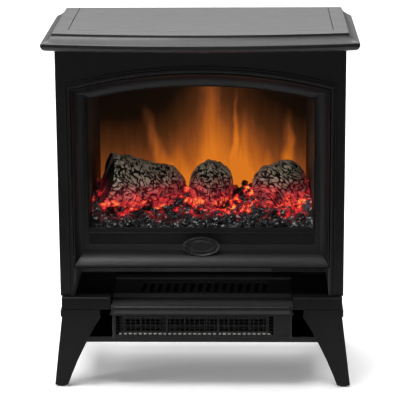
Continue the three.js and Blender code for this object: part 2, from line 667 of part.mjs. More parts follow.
function makeHeaterInside() {
  const inner = CASING_HALF - SHEET;
  const floor = PAN_BASE + SHEET + 0.8;
  const casingYs = [-105.7, 88];
  const section = joined(
    block([-CASING_HALF, -inner], casingYs, [floor, CASING_TOP]),
    block([inner, CASING_HALF], casingYs, [floor, CASING_TOP]),
    block([-CASING_HALF, CASING_HALF], casingYs, [floor, floor + SHEET]),
  );
  const bushHole = bar('x', 7.3, [-CASING_HALF - 1, -inner + 1], FAN_Y, FAN_Z);
  const railNotch = block([-200, 200], [-110, PAN_FRONT + 3], [70, PAN_RAIL_TOP + GAP]);
  piece('heater_casing', cut(section, bushHole, railNotch), mouldedBlack);

  let element = cut(
    block([-128, 106], [-95, -75], [86.5, 123.6]),
    block([-124, 102], [-96, -74], [90.5, 119.5]),
  );
  for (let i = 0; i < 6; i += 1) {
    const x = -98 + i * 35;
    element = joined(element, block([x - 0.8, x + 0.8], [-92, -78], [89.5, 120.5]));
  }
  [98, 112].forEach((z) => {
    element = joined(element, bar('x', 2.5, [-125, 103], -85, z, 6));
  });
  piece('heating_element', element, innerSteel);
  piece('thermal_cutout', bar('z', 7, [124, 133], 40, -85, 16), innerSteel);

  // Scroll: a C-shaped duct that wraps round the back of the impeller.
  const arc = (radius, from, to) => {
    const points = [];
    for (let i = 0; i <= 14; i += 1) {
      const angle = from + ((to - from) * i) / 14;
      points.push([FAN_Y + radius * Math.cos(angle), FAN_Z + radius * Math.sin(angle)]);
    }
    return points;
  };
  const reach = (130 * Math.PI) / 180;
  const scroll = [...arc(FAN_RADIUS + 6, -reach, reach), ...arc(FAN_RADIUS + 4, reach, -reach)];
  piece('fan_scroll', prismX(scroll, [-137, 112]), innerSteel);

  const fanXs = [-134, 108];
  let fan = bar('x', SHAFT_RADIUS, [-142, 134], FAN_Y, FAN_Z, 12);
  [fanXs[0], -14, fanXs[1] - 2].forEach((x) => {
    fan = joined(fan, bar('x', FAN_RADIUS, [x, x + 2], FAN_Y, FAN_Z, 24));
  });
  for (let i = 0; i < FAN_BLADES; i += 1) {
    const angle = (i / FAN_BLADES) * Math.PI * 2;
    const blade = new THREE.BoxGeometry(fanXs[1] - fanXs[0], 7, 0.8);
    blade.rotateX(0.6).translate(-13, FAN_RADIUS - 4.2, 0).rotateX(angle).translate(0, FAN_Y, FAN_Z);
    fan = joined(fan, solid(blade));
  }
  piece('fan_impeller', fan, mouldedBlack);

  const bush = cut(
    joined(
      bar('x', 7, [-CASING_HALF, -inner + 1], FAN_Y, FAN_Z, 16),
      bar('x', 9, [-inner + GAP, -inner + 2], FAN_Y, FAN_Z, 16),
    ),
    bar('x', BORE_RADIUS, [-150, -130], FAN_Y, FAN_Z, 12),
  );
  piece('fan_bush', bush, brassGold);
  const motor = cut(
    bar('x', 21, [116, inner - GAP], FAN_Y, FAN_Z, 24),
    bar('x', BORE_RADIUS, [115, 136], FAN_Y, FAN_Z),
  );
  piece('fan_motor', motor, innerSteel);
}

function makeControls() {
  const plateYs = [ALCOVE_BACK - 4, ALCOVE_BACK - GAP];
  const halfHole = [6.5, 12.5];
  let plate = block([112, 199], plateYs, [155.5, 196.7]);
  ROCKER_XS.forEach((x, index) => {
    const window = block(
      [x - halfHole[0], x + halfHole[0]],
      [plateYs[0] - 1, plateYs[1] + 1],
      [CONTROL_Z - halfHole[1], CONTROL_Z + halfHole[1]],
    );
    plate = cut(plate, window);
    // Rocker: its face has two flats that meet over the pivot, and it rests tilted to "off".
    const tilt = (-10 * Math.PI) / 180;
    const section = [[-9, 0], [-7, 9], [2, 9], [4, 4], [4, -4], [2, -9], [-7, -9]];
    const turnedSection = section.map(([forward, up]) => [
      ROCKER_AXIS_Y + forward * Math.cos(tilt) - up * Math.sin(tilt),
      CONTROL_Z + forward * Math.sin(tilt) + up * Math.cos(tilt),
    ]);
    piece(`rocker_switch_${index + 1}`, prismX(turnedSection, [x - 5.7, x + 5.7]), mouldedBlack);
  });
  plate = cut(plate, bar('y', 4, [20, 30], KNOB_X, CONTROL_Z));
  piece('control_plate', plate, mouldedBlack);

  const knobFace = ALCOVE_BACK - 18;
  const knob = joined(
    bar('y', 11, [knobFace, ALCOVE_BACK - 4 - GAP], KNOB_X, CONTROL_Z, 28),
    bar('y', SHAFT_RADIUS, [knobFace + 2, 40], KNOB_X, CONTROL_Z, 16),
    block([KNOB_X - 1.5, KNOB_X + 1.5], [knobFace - 3, knobFace + 1], [CONTROL_Z - 9, CONTROL_Z + 9]),
  );
  piece('thermostat_knob', knob, mouldedBlack);
  const bodyYs = [ALCOVE_BACK + SHEET + GAP, 52];
  const thermostat = cut(
    block([KNOB_X - 13, KNOB_X + 13], bodyYs, [CONTROL_Z - 13, CONTROL_Z + 13]),
    bar('y', BORE_RADIUS + 0.2, [20, 43], KNOB_X, CONTROL_Z),
  );
  piece('thermostat_body', thermostat, whiteCeramic);
  const switchBlock = block([ROCKER_XS[0] - 8, ROCKER_XS[2] + 8], [42, 54], [CONTROL_Z - 12, CONTROL_Z + 12]);
  piece('switch_block', switchBlock, mouldedBlack);

  const terminal = cut(
    block([150, 186], [88, 106], [225, SHELF_Z - GAP]),
    ...[156, 168, 180].map((x) => bar('z', 2.2, [224, 231], x, 97, 8)),
  );
  piece('terminal_block', terminal, whiteCeramic);
  const rearFace = REAR_PANEL_FRONT + PANEL;
  const gland = cut(
    joined(
      bar('y', 7, [REAR_PANEL_FRONT - 8, rearFace + 2], GLAND_X, GLAND_Z),
      bar('y', 11, [rearFace + GAP, BACK], GLAND_X, GLAND_Z, 24),
    ),
    bar('y', 3.8, [120, 150], GLAND_X, GLAND_Z, 16),
  );
  piece('cable_gland', gland, rubberBlack);
}

makeTop();
makeCasing();
makeFascia();
makeWindow();
makeChamber();
makeFire();
makeLamps();
makeFlicker();
makeBase();
makeLegs();
makeHeaterShell();
makeHeaterInside();
makeControls();

export default group;
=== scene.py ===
# Looks of a free-standing electric stove: satin black steel, an arched window with a log fire
# behind it and a small fan heater between four splayed legs. Metres, Z up, the front faces -Y.
import math
import random

import bmesh
import bpy
from mathutils import Euler, Matrix, Vector, noise


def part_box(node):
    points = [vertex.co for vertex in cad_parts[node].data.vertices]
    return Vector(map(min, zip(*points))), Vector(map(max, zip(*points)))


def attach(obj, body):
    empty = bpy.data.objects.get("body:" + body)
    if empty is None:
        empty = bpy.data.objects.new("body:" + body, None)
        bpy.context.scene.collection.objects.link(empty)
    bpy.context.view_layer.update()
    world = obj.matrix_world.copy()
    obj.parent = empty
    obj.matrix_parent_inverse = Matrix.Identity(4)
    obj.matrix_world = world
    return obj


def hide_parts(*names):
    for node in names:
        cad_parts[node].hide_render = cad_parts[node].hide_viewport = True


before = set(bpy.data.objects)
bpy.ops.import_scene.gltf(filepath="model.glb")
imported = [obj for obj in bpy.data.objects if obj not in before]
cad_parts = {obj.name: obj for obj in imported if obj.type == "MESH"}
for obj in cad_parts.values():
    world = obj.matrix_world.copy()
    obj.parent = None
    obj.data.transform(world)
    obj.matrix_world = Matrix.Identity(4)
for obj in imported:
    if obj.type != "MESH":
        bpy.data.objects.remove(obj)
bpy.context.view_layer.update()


# ---- Studio ----
# A pale floor under a large overhead softbox, with a bright backdrop behind the stove, a dim room
# in front of it and a camera a little above the window, looking slightly down.
class Reading:
    """One output of a finish's nodes. Python's operators on it add Math nodes."""

    def __init__(self, finish, socket):
        self.finish = finish
        self.socket = socket

    def worked(self, operation, *values):
        return self.finish.node("ShaderNodeMath", {"operation": operation}, dict(enumerate(values)))

    def __add__(self, other):
        return self.worked("ADD", self, other)

    def __radd__(self, other):
        return self.worked("ADD", other, self)

    def __sub__(self, other):
        return self.worked("SUBTRACT", self, other)

    def __rsub__(self, other):
        return self.worked("SUBTRACT", other, self)

    def __mul__(self, other):
        return self.worked("MULTIPLY", self, other)

    def __rmul__(self, other):
        return self.worked("MULTIPLY", other, self)

    def __truediv__(self, other):
        return self.worked("DIVIDE", self, other)

    def __pow__(self, other):
        return self.worked("POWER", self, other)

    def __rpow__(self, other):
        return self.worked("POWER", other, self)

    def __abs__(self):
        return self.worked("ABSOLUTE", self)


class Finish:
    """A material: the nodes that read the piece, and the shader that they feed."""

    def __init__(self, name, **constants):
        self.material = bpy.data.materials.new(name)
        self.material.use_nodes = True
        self.nodes = self.material.node_tree.nodes
        self.links = self.material.node_tree.links
        self.shader = self.nodes["Principled BSDF"]
        for socket, value in constants.items():
            self.shader.inputs[socket.replace("_", " ")].default_value = value
        self.place = self.node("ShaderNodeTexCoord", output="Object")

    def node(self, kind, settings=None, inputs=None, output=0):
        made = self.nodes.new(kind)
        for name, value in (settings or {}).items():
            if name != "stops":
                setattr(made, name, value)
                continue
            ramp = made.color_ramp
            while len(ramp.elements) < len(value):
                ramp.elements.new(1.0)
            for element, (position, colour) in zip(ramp.elements, value):
                element.position = position
                element.color = (*colour, 1)
        for name, value in (inputs or {}).items():
            if isinstance(value, Reading):
                self.links.new(value.socket, made.inputs[name])
            else:
                made.inputs[name].default_value = value
        return Reading(self, made.outputs[output])

    def feed(self, socket, reading):
        self.links.new(reading.socket, self.shader.inputs[socket])

    def axes(self):
        return [self.node("ShaderNodeSeparateXYZ", inputs={0: self.place}, output=i) for i in range(3)]

    def cloud(self, size, detail=2.0, stretch=(1, 1, 1), seed=0.0):
        """Soft noise from 0 to 1 whose blots are about one size across."""
        spot = self.node("ShaderNodeMapping", inputs={"Vector": self.place, "Scale": stretch})
        values = {"Vector": spot, "W": seed, "Scale": 1 / size, "Detail": detail}
        return self.node("ShaderNodeTexNoise", {"noise_dimensions": "4D"}, values, output="Fac")

    def eased(self, reading, low, high):
        """0 below low, 1 above high, and a smooth step in between."""
        values = {"Value": reading, "From Min": low, "From Max": high}
        return self.node("ShaderNodeMapRange", {"interpolation_type": "SMOOTHSTEP"}, values)

    def shaded(self, reading, *stops):
        """A colour picked from stops of (value, colour)."""
        return self.node("ShaderNodeValToRGB", {"stops": stops}, {0: reading}, output="Color")

    def mixed(self, share, first, second):
        return self.node("ShaderNodeMix", {"data_type": "RGBA"}, {0: share, 6: first, 7: second}, output=2)

    def relief(self, reading, depth, strength=1.0):
        """Raises the surface by reading times depth."""
        values = {"Height": reading, "Distance": depth, "Strength": strength}
        self.feed("Normal", self.node("ShaderNodeBump", inputs=values, output="Normal"))


floor_paint = Finish("pale_floor", Roughness=0.9, Emission_Color=(1, 1, 1, 1), Emission_Strength=0.2)
floor_paint.feed("Base Color", floor_paint.shaded(
    floor_paint.cloud(0.4), (0.3, (0.86, 0.86, 0.86)), (0.7, (0.9, 0.9, 0.9))))
floor_shape = bmesh.new()
floor_reach, floor_front = 8.0, -0.45
bmesh.ops.create_grid(floor_shape, x_segments=4, y_segments=4, size=floor_reach)
bmesh.ops.translate(floor_shape, vec=(0, floor_reach + floor_front, 0), verts=floor_shape.verts)
floor_mesh = bpy.data.meshes.new("floor")
floor_shape.to_mesh(floor_mesh)
floor_mesh.materials.append(floor_paint.material)
floor = bpy.data.objects.new("floor", floor_mesh)
bpy.context.scene.collection.objects.link(floor)


def softbox(name, place, aim, size, power, colour=(1, 1, 1)):
    lamp = bpy.data.lights.new(name, "AREA")
    lamp.shape = "RECTANGLE"
    lamp.size, lamp.size_y = size
    lamp.energy = power
    lamp.color = colour
    holder = bpy.data.objects.new(name, lamp)
    holder.location = place
    holder.rotation_euler = (Vector(aim) - Vector(place)).to_track_quat("-Z", "Y").to_euler()
    bpy.context.scene.collection.objects.link(holder)


softbox("overhead_softbox", (0, 0.3, 2.2), (0, 0.25, 0), (2.2, 1.6), 48)
softbox("front_softbox", (-0.5, -0.62, 2.2), (-0.1, -0.1, 0.2), (1.0, 0.4), 32)
softbox("left_softbox", (-2.0, -0.7, 1.3), (0, 0, 0.4), (0.25, 1.2), 14)
softbox("low_fill", (0, -3.4, 0.8), (0, 0, 0.25), (1.8, 0.8), 11)
softbox("low_left_softbox", (-1.6, -1.3, 0.34), (0, 0, 0.17), (0.3, 0.2), 2.5)
softbox("low_right_softbox", (1.6, -1.3, 0.34), (0, 0, 0.17), (0.3, 0.2), 2)
softbox("far_floor_softbox", (0, 4.2, 3.2), (0, 4.0, 0), (4.5, 3.0), 230)

room = bpy.data.worlds.new("studio_room")
bpy.context.scene.world = room
room.use_nodes = True
room_nodes = room.node_tree.nodes
room_links = room.node_tree.links
backdrop = room_nodes["Background"]
backdrop.inputs["Color"].default_value = (1, 1, 1, 1)
room_ways = room_nodes.new("ShaderNodeTexCoord")
room_split = room_nodes.new("ShaderNodeSeparateXYZ")
room_fade = room_nodes.new("ShaderNodeMapRange")
room_fade.interpolation_type = "SMOOTHSTEP"
for room_input, room_value in (("From Min", -0.3), ("From Max", 0.75), ("To Min", 0.02), ("To Max", 0.36)):
    room_fade.inputs[room_input].default_value = room_value
room_seen = room_nodes.new("ShaderNodeLightPath")
room_choice = room_nodes.new("ShaderNodeMath")
room_choice.operation = "MAXIMUM"
room_links.new(room_ways.outputs["Generated"], room_split.inputs[0])
room_links.new(room_split.outputs["Y"], room_fade.inputs["Value"])
room_links.new(room_fade.outputs[0], room_choice.inputs[0])
room_links.new(room_seen.outputs["Is Camera Ray"], room_choice.inputs[1])
room_links.new(room_choice.outputs[0], backdrop.inputs["Strength"])
bpy.context.scene.view_settings.view_transform = "Standard"

camera = bpy.data.objects.new("studio_camera", bpy.data.cameras.new("studio_camera"))
bpy.context.scene.collection.objects.link(camera)
bpy.context.scene.camera = camera
camera_turn, camera_dip, camera_roll = 0.0263, 0.2566, -0.0067
camera.data.sensor_width = 36
camera.data.lens = 172.3
camera.data.clip_end = 50
camera.location = (0.0747, -3.01, 1.0742)
camera_aim = Euler((math.pi / 2 - camera_dip, 0, camera_turn)).to_matrix()
camera.rotation_mode = "QUATERNION"
camera.rotation_quaternion = (camera_aim @ Matrix.Rotation(camera_roll, 3, "Z")).to_quaternion()


# ---- Top slab ----
# A thick moulded top of steel, bowed at the front. Its edge has an under-cove, a lip and a hollow
# bevel, and a small step leads up to the flat, where a thin panel is let in.
def satin_black(name, shade=0.0055, gloss=0.40, grain=0.0007, depth=0.00006, specular=0.22):
    """Baked satin black: nearly even, with a fine grain in the coat and faint hand marks."""
    coat = Finish(name, Specular_IOR_Level=specular)
    hand_marks = coat.cloud(0.045, 3)
    coat.feed("Base Color", coat.shaded(
        coat.cloud(0.02, 4, seed=3), (0.3, (shade * 0.85,) * 3), (0.7, (shade * 1.2,) * 3)))
    coat.feed("Roughness", gloss + 0.14 * (hand_marks - 0.5) + 0.05 * (coat.cloud(0.002) - 0.5))
    coat.relief(coat.cloud(grain, 2), depth)
    return coat.material


def skinned(rows, round_rows=True, back_to_first=False):
    """Lays a grid over rows of points, welds it where it meets itself and caps its open ends."""
    if round_rows:
        rows = [row + row[:1] for row in rows]
    if back_to_first:
        rows = rows + rows[:1]
    shape = bmesh.new()
    bmesh.ops.create_grid(shape, x_segments=len(rows[0]) - 1, y_segments=len(rows) - 1, size=1)
    for corner, place in zip(shape.verts, (point for row in rows for point in row)):
        corner.co = place
    bmesh.ops.remove_doubles(shape, verts=shape.verts, dist=0.00001)
    bmesh.ops.dissolve_degenerate(shape, edges=shape.edges, dist=0.00001)
    bmesh.ops.holes_fill(shape, edges=[edge for edge in shape.edges if edge.is_boundary], sides=0)
    bmesh.ops.recalc_face_normals(shape, faces=shape.faces)
    return shape


def eased_edges(shape, width, steps=2, sharp=30):
    """Rounds every edge that turns by more than a few degrees."""
    edges = [e for e in shape.edges if len(e.link_faces) == 2 and e.calc_face_angle() > math.radians(sharp)]
    bmesh.ops.bevel(shape, geom=edges, offset=width, offset_type="OFFSET", segments=steps, profile=0.5,
                    affect="EDGES", material=-1, clamp_overlap=True)


def piece(name, shape, finish, body, stands_for=(), even=True):
    """Makes a finished shape a piece that rides on a body, and stands for CAD nodes."""
    for face in shape.faces:
        face.smooth = True
    for edge in shape.edges:
        edge.smooth = len(edge.link_faces) != 2 or edge.calc_face_angle() < math.radians(42)
    mesh = bpy.data.meshes.new(name)
    shape.to_mesh(mesh)
    shape.free()
    mesh.materials.append(finish)
    made = bpy.data.objects.new(name, mesh)
    bpy.context.scene.collection.objects.link(made)
    if even:
        made.modifiers.new("even_shading", "WEIGHTED_NORMAL").keep_sharp = True
    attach(made, body)
    if stands_for:
        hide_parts(*stands_for)
    return made


slab_low, slab_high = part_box("top_slab")
slab_half = slab_high.x
slab_bow = 0.023
bow_radius = (slab_half**2 + slab_bow**2) / (2 * slab_bow)
bow_axis = slab_low.y + bow_radius
bow_steps = 48
panel_low, panel_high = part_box("top_inset_panel")
panel_margin = 0.05
panel_rim = 0.0008
recess_half = panel_high.x + panel_rim
recess_floor = panel_low.z - 0.0003
recess_back = slab_high.y - 0.0015


def bowed(half, inset, back, height):
    """A flat outline: a front line along the bow, square at the sides and at the back."""
    radius = bow_radius - inset
    across = [half * (2 * step / bow_steps - 1) for step in range(bow_steps + 1)]
    front = [Vector((x, bow_axis - math.sqrt(radius**2 - x**2), height)) for x in across]
    return [Vector((-half, back, height)), *front, Vector((half, back, height))]


def boxed(half, front, back, height):
    """The same kind of outline with a straight front."""
    across = [half * (2 * step / bow_steps - 1) for step in range(bow_steps + 1)]
    line = [Vector((x, front, height)) for x in across]
    return [Vector((-half, back, height)), *line, Vector((half, back, height))]


def quarter(steps):
    return [math.pi / 2 * step / steps for step in range(steps + 1)]


slab_edge = [(0.016, 0)]
slab_edge += [(0.001 + 0.013 * (1 - math.sin(a)), 0.001 + 0.0065 * (1 - math.cos(a))) for a in quarter(6)]
slab_edge += [(0, 0.0087), (0, 0.0133)]
bevel_wide, bevel_tall, bevel_hollow = 0.015, 0.0105, 0.45
for a in quarter(8):
    straight = 2 * a / math.pi
    inward = bevel_hollow * math.sin(a) + (1 - bevel_hollow) * straight
    upward = bevel_hollow * (1 - math.cos(a)) + (1 - bevel_hollow) * straight
    slab_edge.append((0.0014 + bevel_wide * inward, 0.0148 + bevel_tall * upward))
slab_edge += [(0.0164, 0.0274), (0.017, slab_high.z - slab_low.z)]

slab_rows = [
    boxed(0.212, -0.088, 0.133, slab_high.z - 0.006),
    boxed(0.212, -0.088, 0.133, slab_low.z),
]
slab_rows += [bowed(slab_half - inset, inset, slab_high.y, slab_low.z + rise) for inset, rise in slab_edge]
slab_rows += [
    bowed(recess_half, panel_margin, recess_back, slab_high.z),
    bowed(recess_half, panel_margin, recess_back, recess_floor),
]
# The top's satin black is painted lighter than the same moulding elsewhere: painted light for the top, which faces
# the lamps.
top_lit_black = satin_black("top_lit_satin_black", shade=0.012, gloss=0.40, specular=0.36)
slab_shape = skinned(slab_rows)
eased_edges(slab_shape, 0.0005, sharp=38)
piece("top_slab_moulded", slab_shape, top_lit_black, "cabinet", ["top_slab"])

panel_shape = skinned([
    bowed(panel_high.x, panel_margin + panel_rim, recess_back - panel_rim, height)
    for height in (panel_low.z, panel_high.z)
])
eased_edges(panel_shape, 0.0006)
piece("top_panel_let_in", panel_shape, top_lit_black, "cabinet", ["top_inset_panel"])


# ---- Side panels and rear panel ----
# Flat sheets of coated steel with folded edges. The sides are screwed on near the back, and the
# rear sheet has two banks of air slots and a ring of pan-head screws.
def drawn(node):
    """A copy of a CAD node with its loose triangles joined and its flats whole again."""
    shape = bmesh.new()
    shape.from_mesh(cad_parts[node].data)
    bmesh.ops.remove_doubles(shape, verts=shape.verts, dist=0.00001)
    bmesh.ops.dissolve_limit(shape, angle_limit=math.radians(0.5), verts=shape.verts, edges=shape.edges)
    return shape


def softened(node, finish, body, width, steps=2):
    """The CAD node's own shape with its edges rounded."""
    shape = drawn(node)
    eased_edges(shape, width, steps)
    return piece(node + "_finished", shape, finish, body, [node])


sheet_black = satin_black("satin_black_sheet", gloss=0.46)
for panel_name in ("left_side_panel", "right_side_panel"):
    softened(panel_name, sheet_black, "cabinet", 0.0006)
softened("rear_panel", sheet_black, "cabinet", 0.0003)


def screw_head(place, way):
    """A pan head with a cross recess, seen from outside along way."""
    lobes = 16
    cross = [1.0 if lobe % 4 == 0 else 0.42 for lobe in range(lobes)]
    rings = [(0.0033, 0, None), (0.0034, 0.0005, None), (0.0030, 0.0014, None), (0.0022, 0.0019, None)]
    rings += [(0.0016, 0.002, cross), (0.0013, 0.0009, cross)]
    turn = Vector(way).to_track_quat("Z", "Y")
    rows = []
    for radius, rise, shares in rings:
        row = []
        for lobe in range(lobes):
            reach = radius * (shares[lobe] if shares else 1)
            angle = 2 * math.pi * lobe / lobes
            row.append(Vector(place) + turn @ Vector((reach * math.cos(angle), reach * math.sin(angle), rise)))
        rows.append(row)
    return skinned(rows)


def gathered(shapes):
    """Several shapes in one."""
    whole = bmesh.new()
    for shape in shapes:
        part = bpy.data.meshes.new("part")
        shape.to_mesh(part)
        shape.free()
        whole.from_mesh(part)
        bpy.data.meshes.remove(part)
    return whole


screw_finish = Finish("black_zinc_screw", Metallic=0.9, Specular_IOR_Level=0.5)
screw_finish.feed("Base Color", screw_finish.shaded(
    screw_finish.cloud(0.002), (0.3, (0.02, 0.02, 0.022)), (0.8, (0.06, 0.06, 0.065))))
screw_finish.feed("Roughness", 0.3 + 0.2 * screw_finish.cloud(0.001))
rear_low, rear_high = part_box("rear_panel")
side_low, side_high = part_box("right_side_panel")
rear_screws = []
for share in (0.03, 0.5, 0.97):
    across = rear_low.x + share * (rear_high.x - rear_low.x)
    rear_screws += [(across, rear_high.y, rear_high.z - 0.012), (across, rear_high.y, rear_low.z + 0.012)]
rear_screws += [(rear_low.x + 0.013, rear_high.y, 0.35), (rear_high.x - 0.013, rear_high.y, 0.35)]
rear_shape = gathered([screw_head(place, (0, 1, 0)) for place in rear_screws])
piece("rear_panel_screws", rear_shape, screw_finish.material, "cabinet")
for side in (-1, 1):
    places = [(side * side_high.x, side_high.y - 0.012, z) for z in (0.18, 0.35, 0.52)]
    side_shape = gathered([screw_head(place, (side, 0, 0)) for place in places])
    side_name = "left_side_screws" if side < 0 else "right_side_screws"
    piece(side_name, side_shape, screw_finish.material, "cabinet")

# ---- Front fascia ----
# A steel plate that closes the front, open for the window and the alcove. A slim raised moulding
# runs up one side of the opening, over its shallow arch and down the other side.
arch_centre = -0.2854
arch_steps = 40


def arched(half, foot, radius, y):
    """A line up the left side, over a shallow arch and down the right side."""
    corner = math.acos(half / radius)
    line = [Vector((-half, y, foot))]
    for step in range(arch_steps + 1):
        angle = math.pi - corner - (math.pi - 2 * corner) * step / arch_steps
        line.append(Vector((radius * math.cos(angle), y, arch_centre + radius * math.sin(angle))))
    return [*line, Vector((half, y, foot))]


def squared(half, foot, head, y):
    """The same kind of line with square corners."""
    across = [half * (2 * step / arch_steps - 1) for step in range(arch_steps + 1)]
    top = [Vector((x, y, head)) for x in across]
    return [Vector((-half, y, foot)), *top, Vector((half, y, foot))]


moulding_black = satin_black("satin_black_moulding")
fascia_low, fascia_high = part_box("front_fascia")
fascia_face = fascia_low.y + 0.002
fascia_foot = fascia_low.z
hole_half = 0.2026
hole_radius = 0.7997
moulding_width = 0.0086
fascia_rows = [
    squared(fascia_high.x, fascia_foot, fascia_high.z, fascia_high.y),
    squared(fascia_high.x, fascia_foot, fascia_high.z, fascia_face),
]
moulding_section = [(1.0, 0), (0.95, 1.0), (0.72, 1.0), (0.64, 0.35), (0.56, 1.0), (0.2, 1.0), (0.1, 0.55), (0, 0.5)]
for share, rise in moulding_section:
    out = moulding_width * share
    face_y = fascia_face - 0.002 * rise
    fascia_rows.append(arched(hole_half + out, fascia_foot, hole_radius + out * 1.2, face_y))
fascia_rows.append(arched(hole_half, fascia_foot, hole_radius, fascia_high.y))
fascia_shape = skinned(fascia_rows, round_rows=False, back_to_first=True)
eased_edges(fascia_shape, 0.0003, sharp=40)
piece("front_fascia_plate", fascia_shape, moulding_black, "cabinet", ["front_fascia"])

# ---- Window surround ----
# A deep moulded frame. A hollow quarter round sweeps in from its front edge to a flat rail round
# the glass, and below the glass it makes the sloping sill. A fine bead edges the glass.
surround_low, surround_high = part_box("window_surround")
rail_y = -0.084
cove_size = 0.0205
cove_depth = 0.022
cove_half = 0.1795
cove_foot = 0.2335
sill_stretch = 28 / 20.5
cove_radius = 0.7762
pane_foot = 0.2605
bead_z = 0.2523
step_back = 0.0012
front_y = surround_low.y
outer_radius = hole_radius - 0.0003
surround_rows = [
    arched(surround_high.x, surround_low.z, outer_radius, surround_high.y),
    arched(surround_high.x, surround_low.z, outer_radius, front_y + 0.0075),
    arched(surround_high.x - 0.0001, surround_low.z + 0.0012, outer_radius - 0.0001, front_y + 0.0042),
    arched(surround_high.x - 0.0005, surround_low.z + 0.0035, outer_radius - 0.0005, front_y + 0.0014),
    arched(surround_high.x - 0.0012, surround_low.z + 0.006, outer_radius - 0.0012, front_y),
]
cove_turns = 12
for turn_step in range(cove_turns + 1):
    cove_angle = math.radians(87) * (1 - turn_step / cove_turns)
    hollow = 0.55
    along = turn_step / cove_turns
    out = cove_size * (hollow * math.sin(cove_angle) + (1 - hollow) * (1 - along))
    fall = hollow * (1 - math.cos(cove_angle)) + (1 - hollow) * (1 - along)
    depth_y = rail_y - step_back - (cove_depth - step_back) * fall
    depth_y = max(depth_y, front_y)
    surround_rows.append(arched(cove_half + out, cove_foot - out * sill_stretch, cove_radius + out, depth_y))
surround_rows += [
    arched(cove_half, cove_foot, cove_radius, rail_y),
    arched(cove_half - 0.0006, bead_z - 0.0009, cove_radius - 0.0006, rail_y),
    arched(cove_half - 0.0008, bead_z - 0.0006, cove_radius - 0.0008, rail_y - 0.0010),
    arched(cove_half - 0.0014, bead_z + 0.0005, cove_radius - 0.0014, rail_y - 0.0010),
    arched(cove_half - 0.0016, bead_z + 0.0009, cove_radius - 0.0016, rail_y + 0.0012),
    arched(cove_half - 0.0020, pane_foot - 0.0004, cove_radius - 0.0020, rail_y + 0.0016),
    arched(cove_half - 0.0023, pane_foot, cove_radius - 0.0023, rail_y + 0.0020),
    arched(cove_half - 0.0023, pane_foot, cove_radius - 0.0023, surround_high.y),
]
surround_shape = skinned(surround_rows, back_to_first=True)
eased_edges(surround_shape, 0.00035, sharp=50)
piece("window_frame", surround_shape, moulding_black, "cabinet", ["window_surround"])

# ---- Badge ----
# A small plain oval plate on the sill, cast with a raised rim, a sunken field and a low oval boss.
# A stub behind it fixes it to the rail.
badge_low, badge_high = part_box("badge")
badge_z = (badge_low.z + badge_high.z) / 2
badge_long = badge_high.x
badge_short = badge_long * 0.52


def oval(share, y, lift=0.0, points=56):
    ring = []
    for step in range(points):
        angle = 2 * math.pi * step / points
        x = badge_long * share * math.cos(angle)
        ring.append(Vector((x, y, badge_z + lift + badge_short * share * math.sin(angle))))
    return ring


badge_face = badge_low.y
badge_rows = [oval(0.42, badge_high.y, 0.004), oval(0.42, badge_face + 0.0042, 0.004)]
badge_section = [(0.97, 0.0042), (1.0, 0.0034), (1.0, 0.0008), (0.97, 0.0001), (0.94, 0), (0.9, 0.0004)]
badge_section += [(0.87, 0.0016), (0.84, 0.0019), (0.62, 0.0017), (0.58, 0.0010), (0.52, 0.0008), (0.2, 0.0005)]
badge_rows += [oval(share, badge_face + back) for share, back in badge_section]
badge_metal = Finish("badge_black", Specular_IOR_Level=0.4)
badge_metal.feed("Base Color", badge_metal.shaded(
    badge_metal.cloud(0.003, 3), (0.35, (0.006, 0.006, 0.006)), (0.75, (0.014, 0.014, 0.015))))
badge_metal.feed("Roughness", 0.34 + 0.25 * (badge_metal.cloud(0.0015) - 0.5))
badge_metal.relief(badge_metal.cloud(0.0008, 3), 0.0001)
piece("badge_plate", skinned(badge_rows), badge_metal.material, "cabinet", ["badge"])

# ---- Window glass ----
# One flat sheet of toughened glass behind the rail, very slightly smoked.
glass = Finish("window_glass", Base_Color=(0.006, 0.006, 0.007, 1), Alpha=0.04, Specular_IOR_Level=0.5)
glass.feed("Roughness", 0.03 + 0.05 * glass.cloud(0.03, 3))


def dress(node, finish):
    """Gives a CAD node its finish, with its loose triangles joined by a Weld modifier."""
    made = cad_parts[node]
    made.data.materials.clear()
    made.data.materials.append(finish)
    made.modifiers.new("joined", "WELD").merge_threshold = 0.00001
    return made


dress("window_glass", glass.material)

# ---- Fire chamber ----
# Cheeks and roof of brown-black painted sheet, dull from the warmth of the lamps, and streaked.
chamber = Finish("chamber_brown", Specular_IOR_Level=0.25)
chamber_streaks = chamber.cloud(0.012, 4, stretch=(1, 1, 0.25))
chamber.feed("Base Color", chamber.shaded(
    chamber_streaks, (0.3, (0.030, 0.025, 0.019)), (0.75, (0.080, 0.068, 0.056))))
chamber.feed("Roughness", 0.6 + 0.2 * (chamber_streaks - 0.5))
chamber.relief(chamber.cloud(0.001, 3), 0.00008)
for sheet_name in ("chamber_cheek_left", "chamber_cheek_right", "chamber_roof"):
    softened(sheet_name, chamber.material, "cabinet", 0.0004)

# ---- Flame screen ----
# A frosted plastic sheet at the back of the chamber. Lamp light from below and behind paints soft
# orange tongues on it, brightest at the foot and smoky brown at the top.
screen_low, screen_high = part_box("flame_screen")
flame_foot = 0.30
flames = Finish("flame_screen", Roughness=0.75, Specular_IOR_Level=0.1, Base_Color=(0.004, 0.003, 0.002, 1))
flame_x, flame_y, flame_z = flames.axes()
flame_curl = flames.cloud(0.03, 3, stretch=(1, 1, 0.55)) - 0.5
flame_wave = flames.cloud(0.07, 2, stretch=(1, 1, 0.6), seed=5) - 0.5
flame_sway = flame_x + 0.022 * flame_curl + 0.02 * flame_wave
